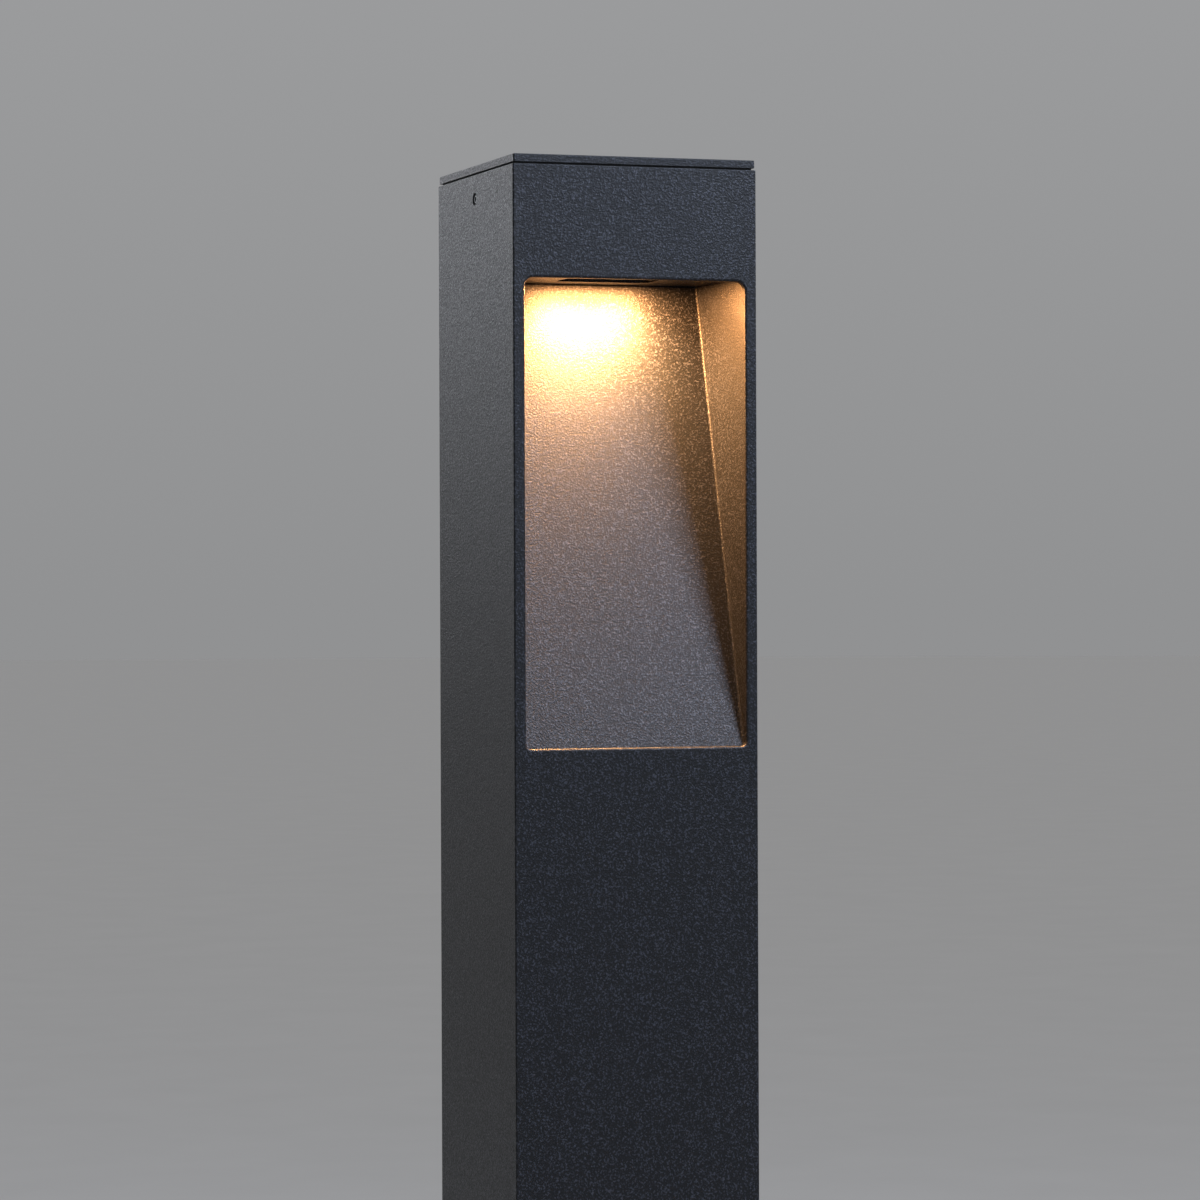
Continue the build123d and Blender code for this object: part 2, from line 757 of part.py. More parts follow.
block_front = box_floor - block_size[1]
with BuildPart() as terminal_block:
    with BuildSketch(front_plane(0, box_mid, box_floor)):
        Rectangle(block_size[0], block_size[2])
    extrude(amount=block_size[1])
    with BuildSketch(front_plane(0, box_mid, block_front)):
        with GridLocations(block_pole_pitch, 0, block_poles, 1):
            Circle(block_well_radius)
    extrude(amount=-block_well_depth, mode=Mode.SUBTRACT)
    with BuildSketch(Plane.XY.offset(box_mid + block_size[2] / 2)):
        with Locations((0, box_floor - block_size[1] / 3)):
            with GridLocations(block_pole_pitch, 0, block_poles, 1):
                Circle(block_wire_radius)
    extrude(amount=-block_size[2], mode=Mode.SUBTRACT)
terminal_block.part.label = "terminal_block"

block_screw_seat = front_plane(0, box_mid, block_front + block_well_depth)
with BuildPart() as terminal_screws:
    with BuildSketch(block_screw_seat):
        with GridLocations(block_pole_pitch, 0, block_poles, 1):
            Circle(block_screw_radius)
    extrude(amount=block_screw_height)
    with BuildSketch(block_screw_seat.offset(block_screw_height)):
        with GridLocations(block_pole_pitch, 0, block_poles, 1):
            Rectangle(2 * block_screw_radius, block_slot[0])
    extrude(amount=-block_slot[1], mode=Mode.SUBTRACT)
terminal_screws.part.label = "terminal_screws"

supply_gland = cable_gland(supply_seat, supply_gland_size, supply_cable_radius)
supply_gland.part.label = "supply_gland"
supply_nut_seat = supply_seat.offset(-box_wall)
supply_gland_nut = gland_nut(supply_nut_seat, supply_gland_size, supply_nut_height)
supply_gland_nut.part.label = "supply_gland_nut"
link_gland = cable_gland(link_seat, link_gland_size, link_lead_radius + lead_fit)
link_gland.part.label = "link_gland"
link_gland_nut = gland_nut(link_seat.offset(-box_wall), link_gland_size, link_nut_height)
link_gland_nut.part.label = "link_gland_nut"

with BuildPart() as link_lead:
    with BuildSketch(Plane.XY.offset(box_top - lead_tail)):
        with Locations((0, lead_y)):
            Circle(link_lead_radius)
    extrude(amount=driver_foot - end_cap_length - driver_boss[1] - box_top + lead_tail)
link_lead.part.label = "link_lead"

# ---------------------------------------------------------------- earth stud and rear screws

earth_seat = front_plane(earth_side, gear_foot + earth_rise, tray_face)
with BuildPart() as earth_stud:
    with BuildSketch(earth_seat):
        Circle(earth_washer[0])
    extrude(amount=earth_washer[1])
    with BuildSketch(earth_seat):
        Circle(earth_radius)
    extrude(amount=earth_length)
earth_stud.part.label = "earth_stud"

with BuildPart() as earth_nut:
    with BuildSketch(earth_seat.offset(earth_washer[1])):
        RegularPolygon(earth_nut_size[0] / 2, 6, major_radius=False)
        Circle(earth_radius + thread_fit, mode=Mode.SUBTRACT)
    extrude(amount=earth_nut_size[1])
earth_nut.part.label = "earth_nut"

rear_head_height = rear_head_radius - rear_screw_radius
with BuildPart() as rear_screws:
    with Locations(*rear_screw_planes):
        Cone(
            rear_screw_radius,
            rear_head_radius,
            rear_head_height,
            align=(Align.CENTER, Align.CENTER, Align.MAX),
        )
        Cylinder(
            rear_screw_radius,
            rear_screw_length,
            align=(Align.CENTER, Align.CENTER, Align.MAX),
        )
    with BuildSketch(*rear_screw_planes):
        RegularPolygon(rear_socket / 2, 6, major_radius=False)
    extrude(amount=-rear_socket_depth, mode=Mode.SUBTRACT)
rear_screws.part.label = "rear_screws"

# ---------------------------------------------------------------- cap

with BuildPart() as cap_plate:
    with BuildSketch(Plane.XY.offset(cap_base)):
        Rectangle(column_width - 2 * cap_inset, column_depth - 2 * cap_inset)
    extrude(amount=cap_thickness)
    fillet(cap_plate.edges().filter_by(Axis.Z), corner_radius)
    fillet(cap_plate.faces().sort_by(Axis.Z)[-1].edges(), cap_edge_radius)
cap_plate.part.label = "cap_plate"

skirt_width = inner_width - 2 * skirt_clearance
skirt_depth = inner_depth - 2 * skirt_clearance
with BuildPart() as cap_skirt:
    with BuildSketch(Plane.XY.offset(cap_base)):
        Rectangle(skirt_width, skirt_depth)
        Rectangle(
            skirt_width - 2 * skirt_wall, skirt_depth - 2 * skirt_wall, mode=Mode.SUBTRACT
        )
    extrude(amount=-skirt_height)
cap_skirt.part.label = "cap_skirt"

with BuildPart() as cap_gasket:
    with BuildSketch(Plane.XY.offset(column_top)):
        Rectangle(column_width - 2 * gasket_setback, column_depth - 2 * gasket_setback)
        Rectangle(inner_width, inner_depth, mode=Mode.SUBTRACT)
    extrude(amount=cap_gap)
cap_gasket.part.label = "cap_gasket"

# ---------------------------------------------------------------- grub screws


def grub_screw(side, height, seat_width):
    """A grub screw through the column wall, its flat point on a seat of that width."""
    outer_face = column_width / 2 - grub_recess
    face = side_plane(side, height, outer_face)
    with BuildPart() as screw:
        with BuildSketch(face):
            Circle(grub_radius)
        extrude(amount=-(outer_face - seat_width / 2))
        chamfer(screw.edges().filter_by(GeomType.CIRCLE), grub_chamfer)
        with BuildSketch(face):
            RegularPolygon(grub_socket / 2, 6, major_radius=False)
        extrude(amount=-grub_socket_depth, mode=Mode.SUBTRACT)
    return screw


cap_screw_left = grub_screw(-1, cap_screw_height, skirt_width)
cap_screw_left.part.label = "cap_screw_left"
cap_screw_right = grub_screw(1, cap_screw_height, skirt_width)
cap_screw_right.part.label = "cap_screw_right"
foot_screw_left = grub_screw(-1, foot_screw_height, spigot_width)
foot_screw_left.part.label = "foot_screw_left"
foot_screw_right = grub_screw(1, foot_screw_height, spigot_width)
foot_screw_right.part.label = "foot_screw_right"

# ---------------------------------------------------------------- one STEP per piece

for piece in (
    foot_plate, foot_spigot, column_tube, recess_tray, lamp_deck, deck_grommet,
    glass_gasket, lamp_glass, lamp_housing, heat_sink, thermal_pad, led_board, led_chips,
    lamp_lens, board_screws, housing_nuts, vent_plug, lamp_gland, led_lead, lead_clips,
    gear_tray, driver_case, driver_end_caps, driver_screws, terminal_box, box_screws,
    box_gasket, terminal_lid, lid_screws, terminal_block, terminal_screws, supply_gland,
    supply_gland_nut, link_gland, link_gland_nut, link_lead, earth_stud, earth_nut,
    rear_screws, cap_plate, cap_skirt, cap_gasket, cap_screw_left, cap_screw_right,
    foot_screw_left, foot_screw_right,
):
    export_step(piece.part, f"parts/{piece.part.label}.step")
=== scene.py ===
"""Bollard light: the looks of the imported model, laid out as an add-on and run as a script."""

import math

import bmesh
import bpy
from bpy.props import FloatProperty, FloatVectorProperty, PointerProperty
from mathutils import Matrix, Vector


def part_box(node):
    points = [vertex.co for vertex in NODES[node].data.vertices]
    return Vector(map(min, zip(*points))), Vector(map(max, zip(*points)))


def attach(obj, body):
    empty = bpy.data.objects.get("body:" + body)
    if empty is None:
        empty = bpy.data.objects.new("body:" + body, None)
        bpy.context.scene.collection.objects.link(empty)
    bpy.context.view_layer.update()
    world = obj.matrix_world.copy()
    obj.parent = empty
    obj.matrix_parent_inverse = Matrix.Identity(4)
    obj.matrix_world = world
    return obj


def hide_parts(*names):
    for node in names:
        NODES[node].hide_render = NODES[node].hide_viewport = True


bl_info = {
    "name": "Bollard light",
    "version": (1, 0, 0),
    "blender": (4, 5, 0),
    "location": "View3D > Sidebar > Bollard",
    "description": "Finishes and fine pieces of a square bollard light with a lit recess",
    "category": "Object",
}

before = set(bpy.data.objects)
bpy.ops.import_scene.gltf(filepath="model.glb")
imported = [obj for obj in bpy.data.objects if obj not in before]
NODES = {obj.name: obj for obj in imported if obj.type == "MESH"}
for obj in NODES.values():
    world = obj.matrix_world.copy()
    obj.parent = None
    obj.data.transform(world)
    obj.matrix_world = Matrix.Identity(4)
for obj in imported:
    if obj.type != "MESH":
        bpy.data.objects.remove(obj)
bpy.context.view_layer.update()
MM = 0.001

COLUMN_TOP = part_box("column_tube")[1].z
GLASS_LOW, GLASS_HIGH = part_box("lamp_glass")
HOUSING_LOW, HOUSING_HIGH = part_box("lamp_housing")
SPIGOT_LOW, SPIGOT_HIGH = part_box("foot_spigot")
SPIGOT_WALL = 4 * MM

CORE_SIDES = 24       # flats around a grub screw's core
THREAD_STEPS = 20     # steps in one turn of a thread
TOOTH_SHARE = 0.88    # a tooth's width as a share of the pitch
BEAD_SIDES = 10       # flats around a bead
RIPPLE_RINGS = 4      # rings of a bead in one ripple
RIPPLE_DRIFT = 0.9    # how far a ripple strays from its even place, in radians

FLOOR_RADIUS = 60.0
FLOOR_SIDES = 96
HEAD_DEPTH = 0.17     # from the column's top down to the point that the lights look at
SENSOR_WIDTH = 36.0   # in millimetres


# ---------------------------------------------------------------- small helpers


def linear(code):
    """An sRGB hex value such as 2B2D31 as linear red, green, blue and alpha."""
    parts = [int(code[at:at + 2], 16) / 255 for at in (0, 2, 4)]
    light = [c / 12.92 if c <= 0.04045 else ((c + 0.055) / 1.055) ** 2.4 for c in parts]
    return (*light, 1.0)


def add(tree, kind, inputs=None, output=None, **settings):
    """Adds a node with its settings; each input is a value or the socket that feeds it.

    It gives back the named output, or the first one that is in use.
    """
    made = tree.nodes.new(kind)
    for name, value in settings.items():
        setattr(made, name, value)
    for name, value in (inputs or {}).items():
        if isinstance(value, bpy.types.NodeSocket):
            tree.links.new(value, made.inputs[name])
        else:
            made.inputs[name].default_value = value
    if output:
        return made.outputs[output]
    return next((each for each in made.outputs if each.enabled), None)


def start(name):
    """A new material as (material, tree, the Object coordinates in metres)."""
    made = bpy.data.materials.new(name)
    made.use_nodes = True
    made.node_tree.nodes.clear()
    return made, made.node_tree, add(made.node_tree, "ShaderNodeTexCoord", output="Object")


def dress(material, *names):
    """Gives CAD nodes a finish in place of the imported one."""
    for name in names:
        slots = NODES[name].data.materials
        slots.clear()
        slots.append(material)


def keep(shape, name, material, body):
    """Turns a bmesh into a finished piece that rides on a body."""
    mesh = bpy.data.meshes.new(name)
    shape.to_mesh(mesh)
    shape.free()
    mesh.materials.append(material)
    piece = bpy.data.objects.new(name, mesh)
    bpy.context.scene.collection.objects.link(piece)
    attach(piece, body)
    return piece


# ---------------------------------------------------------------- materials


def textured_powder_coat(settings):
    """Polyester powder coat, sprayed with a fine texture and baked: matt and sandy.

    Its grains are drawn coarser than the real quarter millimetre, so that they show. Their
    crests are painted a lighter colour: painted glints, standing in for light that the grains
    catch.
    """
    cloud_width = 90 * MM
    swing = 0.12
    made, tree, place = start("fine_texture_powder_coat")
    grains = add(tree, "ShaderNodeTexNoise", {
        "Vector": place, "Scale": 1 / (settings.grain * MM), "Detail": 3.0, "Roughness": 0.62})
    drift = add(tree, "ShaderNodeTexNoise", {
        "Vector": place, "Scale": 1 / cloud_width, "Detail": 3.0})
    ground = add(tree, "ShaderNodeMix", {
        "Factor": drift, "A": (*settings.dark, 1.0), "B": (*settings.light, 1.0)},
        data_type="RGBA")
    # Painted glints: the crests of the grains are painted the lighter glint colour, in place of
    # light that they catch.
    crests = add(tree, "ShaderNodeMapRange", {
        "Value": grains, "From Min": 0.52, "From Max": 0.66, "To Min": 0.0, "To Max": 1.0})
    colour = add(tree, "ShaderNodeMix", {
        "Factor": crests, "A": ground, "B": (*settings.painted_glint, 1.0)}, data_type="RGBA")
    gloss = add(tree, "ShaderNodeMapRange", {
        "Value": grains, "From Min": 0.35, "From Max": 0.65,
        "To Min": settings.roughness + swing, "To Max": settings.roughness - swing})
    bumps = add(tree, "ShaderNodeBump", {
        "Height": grains, "Strength": 1.0, "Distance": settings.depth * MM})
    shader = add(tree, "ShaderNodeBsdfPrincipled", {
        "Base Color": colour, "Roughness": gloss, "IOR": 1.5, "Normal": bumps,
        "Specular IOR Level": settings.gloss})
    add(tree, "ShaderNodeOutputMaterial", {"Surface": shader})
    return made


def galvanised_steel():
    """Steel dipped in hot zinc: dull grey spangles about as wide as a fingertip."""
    spangle_width = 9 * MM
    sway_width, sway_reach = 14 * MM, 6 * MM
    frost_width, frost_height = 1.2 * MM, 0.05 * MM
    made, tree, place = start("hot_dip_galvanised_steel")
    sway = add(tree, "ShaderNodeTexNoise", {
        "Vector": place, "Scale": 1 / sway_width, "Detail": 2.0}, "Color")
    bent = add(tree, "ShaderNodeVectorMath", {
        0: sway, 1: (sway_reach, sway_reach, sway_reach), 2: place}, operation="MULTIPLY_ADD")
    spangles = add(tree, "ShaderNodeTexVoronoi", {
        "Vector": bent, "Scale": 1 / spangle_width, "Randomness": 1.0}, "Color")
    tone = add(tree, "ShaderNodeSeparateColor", {"Color": spangles}, "Red")
    frost = add(tree, "ShaderNodeTexNoise", {
        "Vector": place, "Scale": 1 / frost_width, "Detail": 4.0, "Roughness": 0.6})
    zinc = add(tree, "ShaderNodeMix", {
        "Factor": tone, "A": linear("85898D"), "B": linear("A6AAAD")}, data_type="RGBA")
    dulled = add(tree, "ShaderNodeMapRange", {
        "Value": frost, "From Min": 0.45, "From Max": 0.75, "To Min": 0.0, "To Max": 0.6})
    colour = add(tree, "ShaderNodeMix", {
        "Factor": dulled, "A": zinc, "B": linear("74787B")}, data_type="RGBA")
    gloss = add(tree, "ShaderNodeMapRange", {
        "Value": tone, "From Min": 0.0, "From Max": 1.0, "To Min": 0.62, "To Max": 0.42})
    bumps = add(tree, "ShaderNodeBump", {
        "Height": frost, "Strength": 1.0, "Distance": frost_height})
    shader = add(tree, "ShaderNodeBsdfPrincipled", {
        "Base Color": colour, "Metallic": 0.9, "Roughness": gloss, "Normal": bumps})
    add(tree, "ShaderNodeOutputMaterial", {"Surface": shader})
    return made


def lined_metal(name, dark, light, along, spacing, smooth, rough, groove, metallic=1.0):
    """Rolled or extruded aluminium: a soft sheen with fine lines along one axis.

    Rolls leave wider and fainter lines on a sheet than a die leaves on an extrusion. Their
    spacing and the depth of a groove are in millimetres.
    """
    scuff_width = 22 * MM
    made, tree, place = start(name)
    draw = add(tree, "ShaderNodeMapping", {"Vector": place, "Scale": along})
    lines = add(tree, "ShaderNodeTexNoise", {
        "Vector": draw, "Scale": 1 / (spacing * MM), "Detail": 3.0})
    scuffs = add(tree, "ShaderNodeTexNoise", {
        "Vector": place, "Scale": 1 / scuff_width, "Detail": 5.0, "Roughness": 0.65})
    colour = add(tree, "ShaderNodeMix", {
        "Factor": lines, "A": linear(dark), "B": linear(light)}, data_type="RGBA")
    gloss = add(tree, "ShaderNodeMapRange", {
        "Value": scuffs, "From Min": 0.3, "From Max": 0.7, "To Min": smooth, "To Max": rough})
    bumps = add(tree, "ShaderNodeBump", {
        "Height": lines, "Strength": 1.0, "Distance": groove * MM})
    shader = add(tree, "ShaderNodeBsdfPrincipled", {
        "Base Color": colour, "Metallic": metallic, "Roughness": gloss, "Normal": bumps})
    add(tree, "ShaderNodeOutputMaterial", {"Surface": shader})
    return made


def cast_aluminium():
    """Die-cast aluminium after bead blasting: even, grainy and half matt."""
    dimple_width, dimple_depth = 0.35 * MM, 0.04 * MM
    flow_width = 16 * MM
    made, tree, place = start("bead_blasted_cast_aluminium")
    dimples = add(tree, "ShaderNodeTexNoise", {
        "Vector": place, "Scale": 1 / dimple_width, "Detail": 2.0, "Roughness": 0.6})
    flow = add(tree, "ShaderNodeTexNoise", {
        "Vector": place, "Scale": 1 / flow_width, "Detail": 3.0})
    colour = add(tree, "ShaderNodeMix", {
        "Factor": flow, "A": linear("8E9194"), "B": linear("A3A6A9")}, data_type="RGBA")
    gloss = add(tree, "ShaderNodeMapRange", {
        "Value": dimples, "From Min": 0.3, "From Max": 0.7, "To Min": 0.44, "To Max": 0.58})
    bumps = add(tree, "ShaderNodeBump", {
        "Height": dimples, "Strength": 1.0, "Distance": dimple_depth})
    shader = add(tree, "ShaderNodeBsdfPrincipled", {
        "Base Color": colour, "Metallic": 1.0, "Roughness": gloss, "Normal": bumps})
    add(tree, "ShaderNodeOutputMaterial", {"Surface": shader})
    return made


def fastener_metal(name, clean, worn, grain, share, smooth, rough):
    """Small turned or cold-formed metal pieces: bright, with haze, tarnish or wear in spots.

    The spots are one grain wide, in millimetres, and are worn to the share that is given.
    """
    mark_depth = 0.01 * MM
    made, tree, place = start(name)
    marks = add(tree, "ShaderNodeTexNoise", {
        "Vector": place, "Scale": 1 / (grain * MM), "Detail": 3.0, "Roughness": 0.6})
    spots = add(tree, "ShaderNodeMapRange", {
        "Value": marks, "From Min": 0.45, "From Max": 0.75, "To Min": 0.0, "To Max": share})
    colour = add(tree, "ShaderNodeMix", {
        "Factor": spots, "A": linear(clean), "B": linear(worn)}, data_type="RGBA")
    gloss = add(tree, "ShaderNodeMapRange", {
        "Value": marks, "From Min": 0.3, "From Max": 0.7, "To Min": smooth, "To Max": rough})
    bumps = add(tree, "ShaderNodeBump", {
        "Height": marks, "Strength": 1.0, "Distance": mark_depth})
    shader = add(tree, "ShaderNodeBsdfPrincipled", {
        "Base Color": colour, "Metallic": 1.0, "Roughness": gloss, "Normal": bumps})
    add(tree, "ShaderNodeOutputMaterial", {"Surface": shader})
    return made


def blackened_steel():
    """Black oxide on stainless screws: near black, oily, and worn bright on its high grains."""
    return fastener_metal(
        "black_oxide_screw_steel", "232427", "77787B", grain=0.3, share=0.7, smooth=0.42,
        rough=0.28)


def moulded_rubber(name, dark, bloom, roughness):
    """Moulded rubber: matt, with a grey bloom on parts of its skin."""
    skin_width, skin_depth = 0.5 * MM, 0.03 * MM
    cloud_width = 12 * MM
    made, tree, place = start(name)
    skin = add(tree, "ShaderNodeTexNoise", {
        "Vector": place, "Scale": 1 / skin_width, "Detail": 2.0})
    cloud = add(tree, "ShaderNodeTexNoise", {
        "Vector": place, "Scale": 1 / cloud_width, "Detail": 4.0, "Roughness": 0.6})
    bloomed = add(tree, "ShaderNodeMapRange", {
        "Value": cloud, "From Min": 0.45, "From Max": 0.75, "To Min": 0.0, "To Max": 0.6})
    colour = add(tree, "ShaderNodeMix", {
        "Factor": bloomed, "A": linear(dark), "B": linear(bloom)}, data_type="RGBA")
    gloss = add(tree, "ShaderNodeMapRange", {
        "Value": skin, "From Min": 0.3, "From Max": 0.7,
        "To Min": roughness - 0.06, "To Max": roughness + 0.08})
    bumps = add(tree, "ShaderNodeBump", {
        "Height": skin, "Strength": 1.0, "Distance": skin_depth})
    shader = add(tree, "ShaderNodeBsdfPrincipled", {
        "Base Color": colour, "Roughness": gloss, "IOR": 1.52, "Normal": bumps})
    add(tree, "ShaderNodeOutputMaterial", {"Surface": shader})
    return made


def moulded_plastic(name, colour, shade, roughness, spark):
    """Moulded plastic with the fine spark-eroded texture of its mould, in millimetres."""
    spark_depth = 0.03 * MM
    flow_width = 30 * MM
    made, tree, place = start(name)
    grit = add(tree, "ShaderNodeTexNoise", {
        "Vector": place, "Scale": 1 / (spark * MM), "Detail": 2.0})
    flow = add(tree, "ShaderNodeTexNoise", {
        "Vector": place, "Scale": 1 / flow_width, "Detail": 3.0})
    tint = add(tree, "ShaderNodeMix", {
        "Factor": flow, "A": linear(colour), "B": linear(shade)}, data_type="RGBA")
    gloss = add(tree, "ShaderNodeMapRange", {
        "Value": grit, "From Min": 0.3, "From Max": 0.7,
        "To Min": roughness - 0.05, "To Max": roughness + 0.05})
    bumps = add(tree, "ShaderNodeBump", {
        "Height": grit, "Strength": 1.0, "Distance": spark_depth})
    shader = add(tree, "ShaderNodeBsdfPrincipled", {
        "Base Color": tint, "Roughness": gloss, "IOR": 1.53, "Normal": bumps})
    add(tree, "ShaderNodeOutputMaterial", {"Surface": shader})
    return made


def clear_pane(name, tint, ior, haze, clouds):
    """Clear glass or acrylic: see-through, with a trace of dust or polish haze on its faces.

    The haze lies in clouds, whose width is in millimetres.
    """
    made, tree, place = start(name)
    film = add(tree, "ShaderNodeTexNoise", {
        "Vector": place, "Scale": 1 / (clouds * MM), "Detail": 4.0, "Roughness": 0.65})
    gloss = add(tree, "ShaderNodeMapRange", {
        "Value": film, "From Min": 0.45, "From Max": 0.8, "To Min": 0.01, "To Max": haze})
    shader = add(tree, "ShaderNodeBsdfPrincipled", {
        "Base Color": linear(tint), "Roughness": gloss, "IOR": ior, "Transmission Weight": 1.0})
    add(tree, "ShaderNodeOutputMaterial", {"Surface": shader})
    return made


def solder_mask():
    """White solder mask on a metal-core board: glossy, over the edges of its copper."""
    track_spacing, copper_height = 12 * MM, 0.03 * MM
    ink_width = 2 * MM
    made, tree, place = start("white_solder_mask")
    tracks = add(tree, "ShaderNodeTexBrick", {
        "Vector": place, "Scale": 1 / track_spacing, "Mortar Size": 0.03}, "Fac")
    ink = add(tree, "ShaderNodeTexNoise", {
        "Vector": place, "Scale": 1 / ink_width, "Detail": 2.0})
    tint = add(tree, "ShaderNodeMix", {
        "Factor": tracks, "A": linear("EDEDE8"), "B": linear("CFCFC8")}, data_type="RGBA")
    gloss = add(tree, "ShaderNodeMapRange", {
        "Value": ink, "From Min": 0.3, "From Max": 0.7, "To Min": 0.22, "To Max": 0.32})
    bumps = add(tree, "ShaderNodeBump", {
        "Height": tracks, "Strength": 1.0, "Distance": copper_height}, invert=True)
    shader = add(tree, "ShaderNodeBsdfPrincipled", {
        "Base Color": tint, "Roughness": gloss, "IOR": 1.55, "Normal": bumps})
    add(tree, "ShaderNodeOutputMaterial", {"Surface": shader})
    return made


def lit_phosphor(settings):
    """Yellow phosphor over a lit LED chip, with paler grains in it."""
    grain_width = 0.3 * MM
    made, tree, place = start("lit_led_phosphor")
    grains = add(tree, "ShaderNodeTexNoise", {
        "Vector": place, "Scale": 1 / grain_width, "Detail": 2.0})
    tint = add(tree, "ShaderNodeMix", {
        "Factor": grains, "A": linear("F2C33B"), "B": linear("FFE08A")}, data_type="RGBA")
    shader = add(tree, "ShaderNodeBsdfPrincipled", {
        "Base Color": tint, "Roughness": 0.5, "Emission Color": (*settings.beam_colour, 1.0),
        "Emission Strength": settings.chip_glow})
    add(tree, "ShaderNodeOutputMaterial", {"Surface": shader})
    return made


def studio_floor():
    """Matt pale plaster for the studio floor, with a faint mottle."""
    mottle_width = 180 * MM
    made, tree, place = start("matt_plaster_floor")
    mottle = add(tree, "ShaderNodeTexNoise", {
        "Vector": place, "Scale": 1 / mottle_width, "Detail": 6.0, "Roughness": 0.6})
    tint = add(tree, "ShaderNodeMix", {
        "Factor": mottle, "A": linear("C7C6C5"), "B": linear("CFCECD")}, data_type="RGBA")
    shader = add(tree, "ShaderNodeBsdfPrincipled", {"Base Color": tint, "Roughness": 0.75})
    add(tree, "ShaderNodeOutputMaterial", {"Surface": shader})
    return made


# ---------------------------------------------------------------- shapes


def ring_at(shape, matrix, radius, segments):
    """One ring of a swept shape, as its edges."""
    made = bmesh.ops.create_circle(shape, segments=segments, radius=radius, matrix=matrix)
    return {edge for vert in made["verts"] for edge in vert.link_edges}


def rounded_route(half_x, half_y, corner, step):
    """Points and directions around a rounded rectangle, as (x, y, angle), evenly spaced."""
    route = []
    for quarter in range(4):
        turn = quarter * math.pi / 2
        reach_x, reach_y = (half_x, half_y) if quarter % 2 == 0 else (half_y, half_x)
        run = 2 * (reach_x - corner)
        count = max(1, round(run / step))
        for at in range(count):
            along = -run / 2 + run * at / count
            point = Matrix.Rotation(turn, 2) @ Vector((along, -reach_y))
            route.append((point.x, point.y, turn))
        bend = max(2, round(corner * math.pi / 2 / step))
        for at in range(bend):
            angle = at / bend * math.pi / 2
            local = Vector((
                reach_x - corner + corner * math.sin(angle),
                -reach_y + corner - corner * math.cos(angle)))
            point = Matrix.Rotation(turn, 2) @ local
            route.append((point.x, point.y, turn + angle))
    return route


def bead(middle, half_x, half_y, corner, radius, ripple, ripple_length):
    """A closed bead laid around a rounded rectangle, its crest rippled along the way."""
    shape = bmesh.new()
    rings = []
    route = rounded_route(half_x, half_y, corner, ripple_length / RIPPLE_RINGS)
    for count, (x, y, angle) in enumerate(route):
        phase = count * 2 * math.pi / RIPPLE_RINGS + RIPPLE_DRIFT * math.sin(count)
        swell = radius * (1 + ripple * math.sin(phase))
        place = (
            Matrix.Translation(middle + Vector((x, y, 0)))
            @ Matrix.Rotation(angle, 4, "Z")
            @ Matrix.Rotation(math.pi / 2, 4, "Y"))
        rings.append(ring_at(shape, place, swell, BEAD_SIDES))
    for here, there in zip(rings, rings[1:] + rings[:1]):
        bmesh.ops.bridge_loops(shape, edges=list(here | there))
    bmesh.ops.recalc_face_normals(shape, faces=shape.faces)
    for face in shape.faces:
        face.smooth = True
    return shape


def turn_core(shape, length, root, sizes):
    """A grub screw's core along +Z: both ends chamfered, and a hexagon socket in its top."""
    profile = (
        (0.0, root - sizes.chamfer), (sizes.chamfer, root), (length - sizes.chamfer, root),
        (length, root - sizes.chamfer))
    rings = [
        ring_at(shape, Matrix.Translation((0, 0, z)), radius, CORE_SIDES)
        for z, radius in profile]
    mouth = sizes.socket / math.sqrt(3)
    for z in (length, length - sizes.socket_depth):
        rings.append(ring_at(shape, Matrix.Translation((0, 0, z)), mouth, 6))
    bmesh.ops.contextual_create(shape, geom=list(rings[0]))
    bmesh.ops.contextual_create(shape, geom=list(rings[-1]))
    for here, there in zip(rings, rings[1:]):
        bmesh.ops.bridge_loops(shape, edges=list(here | there))


def wind_thread(shape, length, crest, root, sizes):
    """A pointed tooth wound up the core in a helix, its two feet buried in the core."""
    turns = (length - sizes.pitch) / sizes.pitch
    foot = root - sizes.bury
    width = sizes.pitch * TOOTH_SHARE
    tooth = [
        shape.verts.new((foot, 0, 0)),
        shape.verts.new((crest, 0, width / 2)),
        shape.verts.new((foot, 0, width))]
    face = shape.faces.new(tooth)
    bmesh.ops.spin(
        shape, geom=[face, *face.edges, *tooth], cent=(0, 0, 0), axis=(0, 0, 1),
        dvec=(0, 0, sizes.pitch / THREAD_STEPS), angle=2 * math.pi * turns,
        steps=round(THREAD_STEPS * turns), use_merge=False)


def threaded_grub(node, sizes):
    """A grub screw with a real thread and a hexagon socket, in the place of a CAD node."""
    low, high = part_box(node)
    side = 1 if high.x > 0 else -1
    outer = high.x if side > 0 else low.x
    length = high.x - low.x
    crest = (high.z - low.z) / 2
    root = crest - sizes.thread_depth
    shape = bmesh.new()
    turn_core(shape, length, root, sizes)
    wind_thread(shape, length, crest, root, sizes)
    bmesh.ops.recalc_face_normals(shape, faces=shape.faces)
    middle_y, middle_z = (low.y + high.y) / 2, (low.z + high.z) / 2
    bmesh.ops.transform(shape, matrix=(
        Matrix.Translation((outer - side * length, middle_y, middle_z))
        @ Matrix.Rotation(side * math.pi / 2, 4, "Y")), verts=shape.verts)
    return shape


# ---------------------------------------------------------------- sizes and colours


